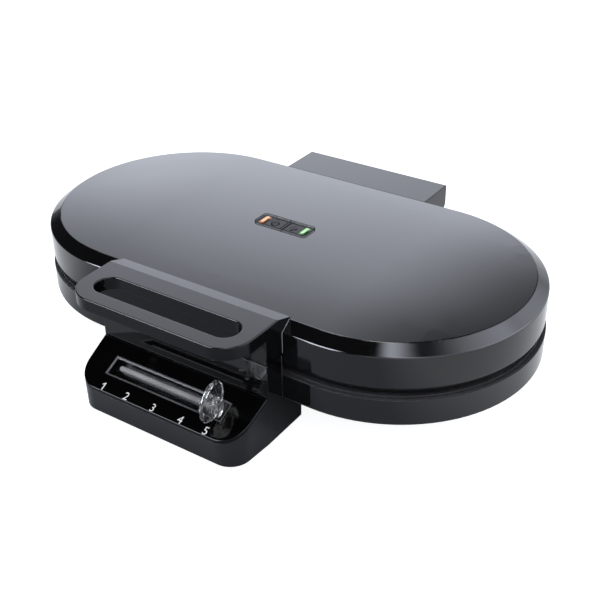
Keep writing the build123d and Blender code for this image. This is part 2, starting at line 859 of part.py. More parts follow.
with BuildPart() as hinge_housing:
    with BuildSketch(side_plane(-hinge_half)):
        Polygon((housing_front_y, skirt_z), *housing_back, (housing_front_y, deck[2][1]), align=None)
    extrude(amount=2 * hinge_half)
    fillet(hinge_housing.edges().filter_by(Axis.Z).sort_by(Axis.Y)[-2:], wall - soft_edge)
    with BuildSketch(side_plane(wall - hinge_half)):
        Polygon(
            (housing_front_y + wall, 0),
            *housing_hollow,
            (housing_front_y + wall, housing_hollow[-1][1]),
            align=None,
        )
    extrude(amount=2 * (hinge_half - wall), mode=Mode.SUBTRACT)
    with BuildSketch(Plane.XY.offset(skirt_z + floor_t)):
        with Locations(*hinge_screw_spots):
            Circle(boss_r)
            Circle(hole_r, mode=Mode.SUBTRACT)
    extrude(amount=floor_boss_h)
    add(bowl_space.part, mode=Mode.SUBTRACT)
    with BuildSketch(Plane.XY.offset(flange_z + flange_h)):
        for side in (-1, 1):
            with Locations((side * (ear_x + ear_t / 2), base_rear_y)):
                Rectangle(ear_t + 2 * ear_gap, hinge_reach - base_r + ear_neck + ear_gap,
                          align=(Align.CENTER, Align.MIN))
        with Locations((-hinge_wire_x, hinge_y)):
            Circle(wire_r + wire_hole_gap)
    extrude(amount=base_rim_z, both=True, mode=Mode.SUBTRACT)
    with BuildSketch(facing(rear_y, 1)):
        with Locations((-inlet_x, inlet_z)):
            Circle(inlet_flange_r + window_fit)
    extrude(amount=-inlet_flange_t, mode=Mode.SUBTRACT)
    with BuildSketch(facing(rear_y, 1)):
        with Locations((-inlet_x, inlet_z)):
            Circle(inlet_body_r + screw_fit)
    extrude(amount=-2 * wall, mode=Mode.SUBTRACT)
keep(hinge_housing, "hinge_housing")

with BuildPart() as cord_grommet:
    with BuildSketch(facing(rear_y, 1)):
        with Locations((-inlet_x, inlet_z)):
            Circle(inlet_flange_r)
    extrude(amount=-inlet_flange_t)
    with BuildSketch(facing(rear_y, 1)):
        with Locations((-inlet_x, inlet_z)):
            Circle(inlet_body_r)
    extrude(amount=-inlet_l)
    with BuildSketch(facing(rear_y, 1)):
        with Locations((-inlet_x, inlet_z)):
            Circle(inlet_bore_r)
    extrude(amount=-inlet_l, mode=Mode.SUBTRACT)
keep(cord_grommet, "cord_grommet")

cap_screw_x = [side * x for side in (-1, 1) for x in (cap_screw_in, hinge_half - wall - boss_r + fit_gap)]
cap_screw_z = lid_edge_z - boss_r
handle_screw_x = [side * x for side in (-1, 1) for x in handle_screws_out]
handle_screw_z = lid_edge_z - handle_screw_drop
arm_x = ear_x + ear_t + ear_gap
arm_flange_z = hinge_z + ear_r + ear_gap
arm_screw_z = arm_flange_z + arm_flange_h / 2
arm_screw_x = [side * (arm_x - flange_w * part) for side in (-1, 1) for part in flange_screws]

with BuildPart() as hinge_cap:
    with BuildSketch(side_plane(-hinge_half)):
        Polygon(
            (cap_front_y, cap_sole_z),
            (cap_sole_y, cap_sole_z),
            (rear_y, cap_foot_z),
            (rear_y, cap_z),
            (cap_front_y, cap_z),
            align=None,
        )
    extrude(amount=2 * hinge_half)
    cap_top = hinge_cap.faces().sort_by(Axis.Z)[-1]
    cap_back = hinge_cap.faces().sort_by(Axis.Y)[-1]
    outer_edges = cap_top.edges() + cap_back.edges()
    fillet(outer_edges.filter_by_position(Axis.Y, cap_front_y + 1, rear_y + 1), soft_edge)
    with BuildSketch(side_plane(wall - hinge_half)):
        with Locations((rear_y - wall, cap_z - wall)):
            Rectangle(rear_reach, crown_z, align=(Align.MAX, Align.MAX))
    extrude(amount=2 * (hinge_half - wall), mode=Mode.SUBTRACT)
    with BuildSketch(facing(rear_y - wall / 2, -1)):
        with Locations(*[(x, cap_screw_z) for x in cap_screw_x]):
            Circle(boss_r)
            Circle(hole_r, mode=Mode.SUBTRACT)
    extrude(amount=rear_reach - lid_r)
    add(lid_space.part, mode=Mode.SUBTRACT)
keep(hinge_cap, "hinge_cap")


def ear_sketch(x, back_y, low_z, high_z, neck=0.0):
    """Plate round the hinge axis that reaches to a wall, as a private sketch."""
    with BuildSketch(side_plane(x)) as plate:
        with Locations((hinge_y, hinge_z)):
            Circle(ear_r)
        Polygon(
            (back_y, low_z),
            (hinge_y + neck, low_z),
            (hinge_y + neck, hinge_z),
            (back_y, high_z),
            align=None,
        )
    return plate.sketch


def hinge_plate(name, side, inner_x, wall_y, outline, flange_low, flange_tall, hole):
    """Upright hinge plate with a screw flange against the wall behind it."""
    with BuildPart() as plate:
        extrude(outline, amount=ear_t)
        with BuildSketch(side_plane(inner_x)):
            with Locations((hinge_y, hinge_z)):
                Circle(hole)
        extrude(amount=ear_t, mode=Mode.SUBTRACT)
        with BuildSketch(facing(wall_y, 1)):
            with Locations((-side * (abs(inner_x + ear_t / 2) + ear_t / 2), flange_low)):
                across = Align.MIN if side > 0 else Align.MAX
                Rectangle(flange_w + ear_t, flange_tall, align=(across, Align.MIN))
        extrude(amount=flange_sheet)
        with BuildSketch(facing(wall_y, 1)):
            for part in flange_screws:
                reach = abs(inner_x + ear_t / 2) - ear_t / 2 - flange_w * part
                with Locations((-side * reach, flange_low + flange_tall / 2)):
                    Circle(hole_r)
        extrude(amount=flange_sheet, mode=Mode.SUBTRACT)
    keep(plate, name)


for side, hand in ((-1, "left"), (1, "right")):
    ear_inner = ear_x if side > 0 else -ear_x - ear_t
    arm_inner = arm_x if side > 0 else -arm_x - ear_t
    ear_outline = ear_sketch(ear_inner, base_rear_y, flange_z, hinge_z, ear_neck)
    arm_top_z = arm_flange_z + arm_flange_h
    arm_outline = ear_sketch(arm_inner, lid_rear_y, hinge_z, arm_top_z, ear_r - flange_sheet)
    hinge_plate(f"hinge_bracket_{hand}", side, ear_inner, base_rear_y, ear_outline, flange_z, flange_h,
                hinge_pin_r + pin_press)
    hinge_plate(f"lid_arm_{hand}", side, arm_inner, lid_rear_y, arm_outline, arm_flange_z, arm_flange_h,
                hinge_pin_r + pin_running)
    head_x = arm_x + ear_t + ear_gap
    with BuildPart() as hinge_pin:
        with BuildSketch(side_plane(side * (ear_x - 2 * clip_t))):
            with Locations((hinge_y, hinge_z)):
                Circle(hinge_pin_r)
        extrude(amount=side * (head_x - ear_x + 2 * clip_t))
        with BuildSketch(side_plane(side * head_x)):
            with Locations((hinge_y, hinge_z)):
                Circle(hinge_head_r)
        extrude(amount=side * hinge_head_t)
    keep(hinge_pin, f"hinge_pin_{hand}")

with BuildPart() as hinge_clips:
    for side in (-1, 1):
        with BuildSketch(side_plane(side * (ear_x - running_gap))):
            with Locations((hinge_y, hinge_z)):
                Circle(clip_r)
                Circle(hinge_pin_r + pin_press, mode=Mode.SUBTRACT)
        extrude(amount=-side * clip_t)
keep(hinge_clips, "hinge_clips")

forward = (0, -1, 0)
backward = (0, 1, 0)
bracket_spots = [((x, base_rear_y + flange_sheet, bracket_screw_z), forward) for x in bowl_screw_x]
screws("bracket_screws", bracket_spots, screw_l - head_h)
rear_lid_spots = [((x, lid_rear_y - wall, cap_screw_z), backward) for x in cap_screw_x]
rear_lid_spots += [((x, lid_rear_y - wall, arm_screw_z), backward) for x in arm_screw_x]
screws("rear_lid_screws", rear_lid_spots, screw_l - head_h)
handle_spots = [((x, lid_front_y + wall, handle_screw_z), forward) for x in handle_screw_x]
screws("handle_screws", handle_spots, screw_l - head_h)

# Lid shell with its bosses and window opening
upper_post_z = upper_shield_z + shield_t

with BuildSketch() as lid_fill:
    with BuildLine():
        Polyline((0, crown_z), (0, lid_rim_z), *lid_outline)
        TangentArc((0, crown_z), lid_outline[-1], tangent=(1, 0))
    make_face()
    soften(lid_fill, lid_bends)

with BuildPart() as lid_solid:
    sweep_oval(lid_fill)

with BuildPart() as lid_shell:
    sweep_oval(lid_section)
    with BuildSketch(Plane.XY.offset(upper_ledge_z)):
        with Locations(*post_spots):
            Circle(post_r + fit_gap)
    extrude(amount=upper_shield_z - upper_ledge_z, mode=Mode.SUBTRACT)
    with BuildSketch(Plane.XY.offset(upper_post_z)):
        with Locations(*post_spots):
            Circle(post_boss_r)
    extrude(amount=crown_z - upper_post_z)
    add(lid_solid.part, mode=Mode.INTERSECT)
    with BuildSketch(Plane.XY.offset(upper_post_z)):
        with Locations(*post_spots):
            Circle(hole_r)
    extrude(amount=screw_l - head_h, mode=Mode.SUBTRACT)
    with BuildSketch(facing(lid_front_y, -1)):
        with Locations(*[(x, handle_screw_z) for x in handle_screw_x]):
            Circle(hole_r)
    extrude(amount=-2 * wall, mode=Mode.SUBTRACT)
    with BuildSketch(facing(lid_rear_y, 1)):
        with Locations(*[(x, cap_screw_z) for x in cap_screw_x]):
            Circle(hole_r)
        with Locations(*[(x, arm_screw_z) for x in arm_screw_x]):
            Circle(hole_r)
    extrude(amount=-2 * wall, mode=Mode.SUBTRACT)
    with BuildSketch(facing(lid_rear_y, 1)):
        with Locations((-hinge_wire_x, hinge_z)):
            Circle(wire_r + wire_hole_gap)
    extrude(amount=-4 * wall, mode=Mode.SUBTRACT)
    with BuildSketch(Plane.XY.offset(crown_z)):
        with Locations((0, body_y)):
            RectangleRounded(window_l + 2 * window_fit, window_w + 2 * window_fit, window_corner_r)
    extrude(amount=-2 * wall, mode=Mode.SUBTRACT)
keep(lid_shell, "lid_shell")

# Handle with its finger slot, and the upper half of the pillar, in one moulding
handle_low_z = handle_z - handle_t
lid_pillar_z = pillar_top_z + pillar_gap
strip_front_y = body_y - strip_reach
handle_front_y = body_y - handle_reach
strip_rear = (body_y - lid_top_r + strip_over, lid_top_z + strip_lip)
strip = [strip_rear, (strip_front_y, handle_z), (pillar_y, handle_z), (pillar_y, 0)]

with BuildPart() as lid_handle:
    with BuildSketch(side_plane(-pillar_half)):
        Polygon(
            (body_y - lid_top_r, lid_pillar_z),
            strip[0],
            strip[1],
            strip[2],
            (pillar_y, lid_pillar_z),
            align=None,
        )
    extrude(amount=2 * pillar_half)
    with BuildSketch(side_plane(wall - pillar_half)):
        Polygon(*inner_line(strip, wall), (body_y - lid_top_r, 0), align=None)
    extrude(amount=2 * (pillar_half - wall), mode=Mode.SUBTRACT)
    with BuildSketch(Plane.XY.offset(handle_low_z)) as handle_plan:
        with BuildLine():
            Polyline(
                (-pillar_half, strip_front_y - wall),
                (-pillar_half, pillar_y),
                (-handle_half, handle_front_y),
                (handle_half, handle_front_y),
                (pillar_half, pillar_y),
                (pillar_half, strip_front_y - wall),
                close=True,
            )
        make_face()
        fillet(handle_plan.vertices().group_by(Axis.Y)[0], handle_corner_r)
    extrude(amount=handle_t)
    with BuildSketch(Plane.XY.offset(handle_low_z)):
        with Locations((0, body_y - slot_reach)):
            SlotOverall(slot_l, slot_w)
    extrude(amount=handle_t, mode=Mode.SUBTRACT)
    rim_edges = lid_handle.faces().filter_by(Axis.Z).sort_by(Axis.Z)[-1].edges()
    fillet(rim_edges.filter_by_position(Axis.Y, handle_front_y - 1, strip_front_y - 1), soft_edge)
    with BuildSketch(facing(pillar_y + wall / 2, 1)):
        with Locations(*[(x, handle_screw_z) for x in handle_screw_x]):
            Circle(boss_r)
            Circle(hole_r, mode=Mode.SUBTRACT)
    extrude(amount=pillar_reach - lid_r)
    add(lid_space.part, mode=Mode.SUBTRACT)
keep(lid_handle, "lid_handle")


# Baking plates, with ten lobes to a well for five hearts
def wells(grow):
    """Lobed outline of both wells, in the active sketch."""
    with Locations(*well_spots):
        Circle(lobe_ring + grow)
        with PolarLocations(lobe_ring, lobe_count, start_angle=180 / lobe_count):
            Circle(lobe_r + grow)


def pegs():
    """Square pegs of both wells, in the active sketch."""
    rows = [(1.5, (0,)), (2.5, (-0.5, 0.5)), (3.5, (-1, 0, 1)), (4.5, (-1.5, -0.5, 0.5, 1.5))]
    for row, columns in rows:
        for column in columns:
            radius = peg_pitch * hypot(row, column)
            angle = atan2(column, row) * 180 / pi
            with Locations(*well_spots):
                with PolarLocations(radius, heart_count, start_angle=angle):
                    Rectangle(peg_size, peg_size, rotation=-angle)


def ridges():
    """Ridges between the hearts of both wells, in the active sketch."""
    reach = lobe_ring + lobe_r / 2
    with Locations(*well_spots):
        with PolarLocations(reach / 2, heart_count, start_angle=180 / heart_count):
            Rectangle(reach, ridge_w)


well_spots = [(-half_straight, body_y), (half_straight, body_y)]


def plate(name, face_z, way, radius, post_end_z, hole_end, counterbore):
    """Baking plate whose wells sink the given way from its face."""
    face = Plane.XY.offset(face_z)
    seat_z = face_z + way * flange_t
    floor_z = face_z + way * well_depth
    under_z = floor_z + way * well_wall
    with BuildPart() as piece:
        with BuildSketch(face):
            oval(radius)
        extrude(amount=way * flange_t)
        with BuildSketch(Plane.XY.offset(seat_z)):
            wells(well_wall)
        extrude(amount=way * (well_depth + well_wall - flange_t))
        with BuildSketch(Plane.XY.offset(seat_z)):
            with Locations(*post_spots):
                Circle(post_r)
        extrude(amount=post_end_z - seat_z)
        with BuildSketch(Plane.XY.offset(under_z)):
            with Locations(*strap_spots):
                Circle(boss_r)
        extrude(amount=way * (2 * heater_r + heater_gap))
        with BuildSketch(face):
            wells(0)
        extrude(amount=way * well_depth, mode=Mode.SUBTRACT)
        with BuildSketch(Plane.XY.offset(floor_z)):
            pegs()
        extrude(amount=-way * peg_h, taper=peg_draft)
        with BuildSketch(Plane.XY.offset(floor_z)):
            ridges()
        extrude(amount=-way * ridge_h)
        with BuildSketch(face):
            oval(groove_r + groove_w / 2)
            with Locations((0, body_y)):
                SlotCenterToCenter(2 * half_straight, 2 * groove_r - groove_w, mode=Mode.SUBTRACT)
        extrude(amount=way * groove_depth, mode=Mode.SUBTRACT)
        with BuildSketch(Plane.XY.offset(post_end_z)):
            with Locations(*post_spots):
                Circle(hole_r)
        extrude(amount=hole_end - post_end_z, mode=Mode.SUBTRACT)
        if counterbore:
            with BuildSketch(face):
                with Locations(*post_spots):
                    Circle(head_r + screw_fit)
            extrude(amount=way * counterbore, mode=Mode.SUBTRACT)
        with BuildSketch(Plane.XY.offset(under_z + way * (2 * heater_r + heater_gap))):
            with Locations(*strap_spots):
                Circle(hole_r)
        extrude(amount=-way * strap_screw_l, mode=Mode.SUBTRACT)
    keep(piece, name)


# Heater straps stand at three places on each ring, away from the body's middle
strap_angles = (90, 180, 270)
strap_screw_l = 6.0
strap_ring = heater_ring - strap_screw_in
strap_turns = [
    (side, radians(angle if side < 0 else 180 - angle)) for side in (-1, 1) for angle in strap_angles
]


def strap_place(side, turn, ring):
    """Point on a ring round one well's centre."""
    return (side * half_straight + ring * cos(turn), body_y + ring * sin(turn))


strap_spots = [strap_place(side, turn, strap_ring) for side, turn in strap_turns]
post_thread = 14.0
head_pocket = 2.0
thread_end_z = lower_shield_z + post_thread
plate("lower_plate", lower_face_z, -1, lower_plate_r, lower_shield_z + shield_t, thread_end_z, 0)
plate("upper_plate", upper_face_z, 1, upper_plate_r, upper_shield_z, upper_face_z, head_pocket)
lower_reach = web_t + shield_t + post_thread - head_r
upper_reach = upper_post_z - upper_face_z - head_pocket + screw_l - head_r
lower_post_spots = [((x, y, screw_web_z), up) for x, y in post_spots]
upper_post_spots = [((x, y, upper_face_z + head_pocket), up) for x, y in post_spots]
screws("lower_plate_screws", lower_post_spots, lower_reach, head=boss_r - fit_gap)
screws("upper_plate_screws", upper_post_spots, upper_reach)


def heater(name, side, z):
    """Tubular element bent round under or over one well, with its two cold pins."""
    centre = (side * half_straight, body_y, z)
    start = radians(180 if side > 0 else 0) + radians(360 - heater_arc) / 2
    with BuildPart() as element:
        for turn, way in ((start, -1), (start + radians(heater_arc), 1)):
            spot = (centre[0] + heater_ring * cos(turn), centre[1] + heater_ring * sin(turn), z)
            tangent = (-way * sin(turn), way * cos(turn), 0)
            with BuildSketch(Plane(origin=spot, z_dir=tangent)) as end:
                Circle(pin_r)
            extrude(end.sketch, amount=pin_l)
            if way < 0:
                with BuildSketch(Plane(origin=spot, z_dir=tangent)) as tube_end:
                    Circle(heater_r)
        revolve(tube_end.sketch, axis=Axis(centre, (0, 0, 1)), revolution_arc=heater_arc)
    keep(element, name)


def straps(name, z, way):
    """Flat straps that press the elements against a plate."""
    with BuildPart() as group:
        for side, turn in strap_turns:
            x, y = strap_place(side, turn, strap_ring + strap_l / 2 - boss_r)
            with BuildSketch(Plane.XY.offset(z)):
                with Locations((x, y)):
                    Rectangle(strap_l, strap_w, rotation=turn * 180 / pi)
                with Locations(strap_place(side, turn, strap_ring)):
                    Circle(hole_r, mode=Mode.SUBTRACT)
            extrude(amount=way * strap_t)
    keep(group, name)


for side, hand in ((-1, "left"), (1, "right")):
    heater(f"lower_heater_{hand}", side, lower_heater_z)
    heater(f"upper_heater_{hand}", side, upper_heater_z)
straps("lower_heater_straps", lower_strap_z + strap_t, -1)
straps("upper_heater_straps", upper_strap_z, 1)
down = (0, 0, -1)
strap_screw_reach = strap_t + strap_screw_l - head_h
lower_strap_spots = [((x, y, lower_strap_z), up) for x, y in strap_spots]
upper_strap_spots = [((x, y, upper_strap_z + strap_t), down) for x, y in strap_spots]
screws("lower_strap_screws", lower_strap_spots, strap_screw_reach, head=strap_head_r)
screws("upper_strap_screws", upper_strap_spots, strap_screw_reach, head=strap_head_r)


def shield(name, z, way):
    """Sheet tray that keeps the heat off the moulding beyond it."""
    low = 0 if way > 0 else shield_t
    with BuildSketch() as section:
        with Locations((0, z + low)):
            Rectangle(shield_r, shield_t, align=(Align.MIN, Align.MIN if way > 0 else Align.MAX))
        with Locations((shield_r, z + low)):
            Rectangle(shield_t, shield_rim_h, align=(Align.MAX, Align.MIN if way > 0 else Align.MAX))
    with BuildPart() as tray:
        sweep_oval(section)
        with BuildSketch(Plane.XY.offset(z)):
            with Locations(*post_spots):
                Circle(hole_r)
            with Locations((0, body_y)):
                Circle(shield_hole_r)
        extrude(amount=shield_t, mode=Mode.SUBTRACT)
    keep(tray, name)


shield("lower_heat_shield", lower_shield_z, 1)
shield("upper_heat_shield", upper_shield_z, -1)

# Sensor and fuse against the lower plate, between the wells
sensor_r = 6.0
sensor_h = 7.0
sensor_reach = 22.0
fuse_r = 2.0
fuse_l = 11.0
fuse_foot = 1.0
with BuildPart() as temperature_sensor:
    with BuildSketch(Plane.XY.offset(lower_ledge_z)):
        with Locations((0, body_y - sensor_reach)):
            Circle(sensor_r)
            Rectangle(2 * sensor_r, sensor_r)
    extrude(amount=-sensor_h)
    fillet(temperature_sensor.edges().group_by(Axis.Z)[0], soft_edge)
keep(temperature_sensor, "temperature_sensor")

with BuildPart() as thermal_fuse:
    with BuildSketch(Plane.XY.offset(lower_ledge_z)):
        with Locations((0, body_y + sensor_reach)):
            Rectangle(2 * fuse_r, fuse_l)
    extrude(amount=-fuse_foot)
    with BuildSketch(facing(body_y + sensor_reach - fuse_l / 2, 1)):
        with Locations((0, lower_ledge_z - fuse_foot - fuse_r / 2)):
            Circle(fuse_r)
    extrude(amount=fuse_l)
    with BuildSketch(Plane.XY.offset(lower_ledge_z)):
        with Locations((0, body_y + sensor_reach)):
            Rectangle(sensor_r, 2 * fuse_l)
    extrude(amount=sensor_r, mode=Mode.SUBTRACT)
keep(thermal_fuse, "thermal_fuse")

# Wires: mains from the inlet to the terminals, and the feed to the lid through the hinge
wire_front_y = slope_point(0, board_rear, board_top - board_t)[1] + fit_gap
with BuildPart() as mains_wires:
    tube(
        [
            (inlet_x, rear_y - inlet_l - fit_gap, inlet_z),
            (inlet_x, base_rear_y + foot_r, inlet_z),
            (wire_x, base_rear_y - boss_r, wire_z),
            (wire_x, body_y + belly_r - boss_r, wire_z),
            (wire_x - boss_r, body_y, wire_z - boss_r / 2),
            (wire_x, body_y - belly_r + boss_r, wire_z),
            (wire_x, wire_front_y, wire_z),
        ],
        wire_r,
        wire_bend,
    )
keep(mains_wires, "mains_wires")

with BuildPart() as lid_feed_wires:
    tube(
        [
            (-wire_x, wire_front_y, wire_z),
            (-wire_x, body_y - belly_r + boss_r, wire_z),
            (boss_r - wire_x, body_y, wire_z - boss_r / 2),
            (-wire_x, body_y + belly_r - boss_r, wire_z),
            (-wire_x, base_rear_y - boss_r, wire_z),
            (-hinge_wire_x, hinge_y, wire_z),
            (-hinge_wire_x, hinge_y, hinge_z),
            (-wire_end_gap / 2, hinge_y, hinge_z),
        ],
        wire_r,
        wire_tight_bend,
    )
keep(lid_feed_wires, "lid_feed_wires")

with BuildPart() as lid_wires:
    tube(
        [
            (wire_end_gap / 2, hinge_y, hinge_z),
            (hinge_wire_x, hinge_y, hinge_z),
            (hinge_wire_x, body_y + belly_r, hinge_z),
            (0, body_y + sensor_reach, upper_heater_z),
            (0, body_y - sensor_reach, upper_heater_z),
        ],
        wire_r,
        wire_tight_bend,
    )
keep(lid_wires, "lid_wires")

# Signal window in the lid with its lamps
window_z = crown_z - window_sink
window_low_z = crown_z - wall - fit_gap
board_z = window_low_z - window_rim_t - lamp_post_l
lens_spots = [(-lens_x, body_y), (lens_x, body_y)]
post_pair = [(-lamp_post_x, body_y), (lamp_post_x, body_y)]
with BuildPart() as indicator_window:
    with BuildSketch(Plane.XY.offset(window_low_z)):
        with Locations((0, body_y)):
            RectangleRounded(window_l, window_w, window_corner_r)
    extrude(amount=window_z - window_low_z)
    fillet(indicator_window.edges().group_by(Axis.Z)[-1], window_sink)
    with BuildSketch(Plane.XY.offset(window_low_z)):
        with Locations((0, body_y)):
            RectangleRounded(window_l + 2 * window_rim, window_w + 2 * window_rim, window_corner_r)
    extrude(amount=-window_rim_t)
    with BuildSketch(Plane.XY.offset(window_low_z - window_rim_t)):
        with Locations(*post_pair):
            Circle(lamp_post_r)
    extrude(amount=-lamp_post_l)
    with BuildSketch(Plane.XY.offset(window_z)):
        with Locations(*lens_spots):
            RectangleRounded(lens_l + 2 * screw_fit, lens_w + 2 * screw_fit, soft_edge)
    extrude(amount=-2 * crown_h, mode=Mode.SUBTRACT)
keep(indicator_window, "indicator_window")

for name, spot in (("heating_lens", lens_spots[0]), ("ready_lens", lens_spots[1])):
    with BuildPart() as lens:
        with BuildSketch(Plane.XY.offset(window_low_z - window_rim_t)):
            with Locations(spot):
                RectangleRounded(lens_l, lens_w, soft_edge)
        extrude(amount=window_z - window_low_z + window_rim_t)
    keep(lens, name)

with BuildPart() as lamp_board:
    with BuildSketch(Plane.XY.offset(board_z)):
        with Locations((0, body_y)):
            Rectangle(lamp_board_l, lamp_board_w)
        with Locations(*post_pair):
            Circle(lamp_hole_r, mode=Mode.SUBTRACT)
    extrude(amount=-board_t)
keep(lamp_board, "lamp_board")

with BuildPart() as signal_lamps:
    with BuildSketch(Plane.XY.offset(board_z)):
        with Locations(*lens_spots):
            Circle(lamp_r)
    extrude(amount=lamp_h)
    fillet(signal_lamps.edges().group_by(Axis.Z)[-1], lamp_r - soft_edge)
keep(signal_lamps, "signal_lamps")
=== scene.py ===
import json
import math

import bmesh
import bpy
from mathutils import Matrix, Vector


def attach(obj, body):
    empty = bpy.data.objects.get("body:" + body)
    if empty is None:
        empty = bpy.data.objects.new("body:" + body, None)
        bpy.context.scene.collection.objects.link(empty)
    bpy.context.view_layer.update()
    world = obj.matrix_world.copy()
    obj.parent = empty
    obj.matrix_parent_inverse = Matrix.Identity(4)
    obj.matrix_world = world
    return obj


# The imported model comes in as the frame, in metres, with the table at z = 0, the
# console and handle facing -Y and the hinge at the rear.
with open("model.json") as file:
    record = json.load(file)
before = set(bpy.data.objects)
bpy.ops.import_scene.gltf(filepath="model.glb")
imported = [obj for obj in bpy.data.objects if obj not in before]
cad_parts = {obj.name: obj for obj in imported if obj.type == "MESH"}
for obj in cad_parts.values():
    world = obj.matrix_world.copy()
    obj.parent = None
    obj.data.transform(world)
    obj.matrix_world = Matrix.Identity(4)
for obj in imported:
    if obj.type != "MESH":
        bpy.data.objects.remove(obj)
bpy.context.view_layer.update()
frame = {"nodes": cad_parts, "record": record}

# The sloping console panel: its tilt, the point where its face meets the pillar, and the
# directions up the slope and out of its face, in the same values as the solids
TILT = math.radians(25.2)
PANEL = Vector((0.0, -0.10925, 0.0408))
SLOPE_UP = Vector((0.0, math.cos(TILT), math.sin(TILT)))
SLOPE_OUT = Vector((0.0, -math.sin(TILT), math.cos(TILT)))

# Middle of the oval body, front to rear
BODY_Y = 0.01275

# Objects and meshes


def add_object(name, data):
    """New object in the scene."""
    o = bpy.data.objects.new(name, data)
    bpy.context.scene.collection.objects.link(o)
    return o


def dressed_object(name, mesh, material):
    """New object whose mesh has one material."""
    mesh.materials.clear()
    mesh.materials.append(material)
    return add_object(name, mesh)


def mesh_of(name, curve):
    """The shape of a curve or text, as a mesh."""
    shape = add_object(name, curve)
    bpy.context.view_layer.update()
    mesh = bpy.data.meshes.new_from_object(shape.evaluated_get(bpy.context.evaluated_depsgraph_get()))
    bpy.data.objects.remove(shape)
    return mesh


def thicken(bm, thick):
    """Makes a flat shape solid, upwards along its own Z."""
    top = bmesh.ops.extrude_face_region(bm, geom=bm.faces[:])
    top_points = [v for v in top["geom"] if isinstance(v, bmesh.types.BMVert)]
    bmesh.ops.translate(bm, verts=top_points, vec=(0, 0, thick))
    bmesh.ops.recalc_face_normals(bm, faces=bm.faces)


def store(bm, mesh):
    """Writes an edited shape into a mesh and frees it."""
    bm.to_mesh(mesh)
    bm.free()
    return mesh


# Shader nodes, for the materials and the world


def new_material(name):
    """Node material with nothing in it yet."""
    m = bpy.data.materials.new(name)
    m.use_nodes = True
    m.node_tree.nodes.clear()
    return m


def add_node(tree, kind, values=None, **settings):
    """One node with its settings, and with numbers, colours or other nodes' outputs as its inputs."""
    n = tree.nodes.new(kind)
    for key, value in settings.items():
        setattr(n, key, value)
    for key, value in (values or {}).items():
        if isinstance(value, bpy.types.NodeSocket):
            tree.links.new(value, n.inputs[key])
        else:
            n.inputs[key].default_value = value
    return n


def arithmetic(tree, kind, *values):
    """One step of arithmetic, with numbers or outputs."""
    return add_node(tree, "ShaderNodeMath", dict(enumerate(values)), operation=kind).outputs["Value"]


def parts_of(tree, vector):
    """The x, y and z of a vector."""
    split = add_node(tree, "ShaderNodeSeparateXYZ", {"Vector": vector})
    return split.outputs["X"], split.outputs["Y"], split.outputs["Z"]


def carry(tree, value, start, end, low=0.0, high=1.0, **settings):
    """A value from start to end carried to low and high, and held there beyond them."""
    reach = {"Value": value, "From Min": start, "From Max": end, "To Min": low, "To Max": high}
    return add_node(tree, "ShaderNodeMapRange", reach, **settings).outputs["Result"]


def soft_step(tree, value, start, end):
    """Smooth step from 0 at start to 1 at end, where end may be the lower one."""
    low, high = (0.0, 1.0) if start < end else (1.0, 0.0)
    return carry(tree, value, min(start, end), max(start, end), low, high, interpolation_type="SMOOTHSTEP")


def noise(tree, scale, detail=2.0, roughness=0.5):
    """Noise in the object's own coordinates, in metres."""
    place = add_node(tree, "ShaderNodeTexCoord").outputs["Object"]
    cloud = {"Vector": place, "Scale": scale, "Detail": detail, "Roughness": roughness}
    return add_node(tree, "ShaderNodeTexNoise", cloud).outputs["Fac"]


def spread(tree, value, low, high):
    """Noise, taken from 0.3 to 0.7, carried to low and high."""
    return carry(tree, value, 0.3, 0.7, low, high)


def opaque(colour):
    """A colour with its alpha of 1."""
    return (*colour, 1.0)


def blend_colours(tree, share, one, two):
    """Two colours mixed by a share from 0 to 1."""
    values = {"Factor": share, "A": one, "B": two}
    return add_node(tree, "ShaderNodeMix", values, data_type="RGBA").outputs["Result"]


# Materials

WHITE = (1.0, 1.0, 1.0)
BLACK = (0.0015, 0.0015, 0.0017)
POLISHED = {"grain": 0.004, "grain_scale": 500.0, "swing": 0.02}
CLOUD_SCALE = 35.0
GLOSS_SCALE = 220.0
LEAST_ROUGH = 0.02
GRAIN_DEPTH = 0.0002
DOWN_START = -0.15
DOWN_FULL = -0.35


def duller_underside(tree, gloss, under, rim):
    """Roughness with under added on faces that look down, and with rim also on those that look up."""
    facing = parts_of(tree, add_node(tree, "ShaderNodeTexCoord").outputs["Normal"])[2]
    if rim:
        facing = arithmetic(tree, "MULTIPLY", arithmetic(tree, "ABSOLUTE", facing), -1.0)
    return arithmetic(tree, "ADD", gloss, carry(tree, facing, DOWN_START, DOWN_FULL, 0.0, under))


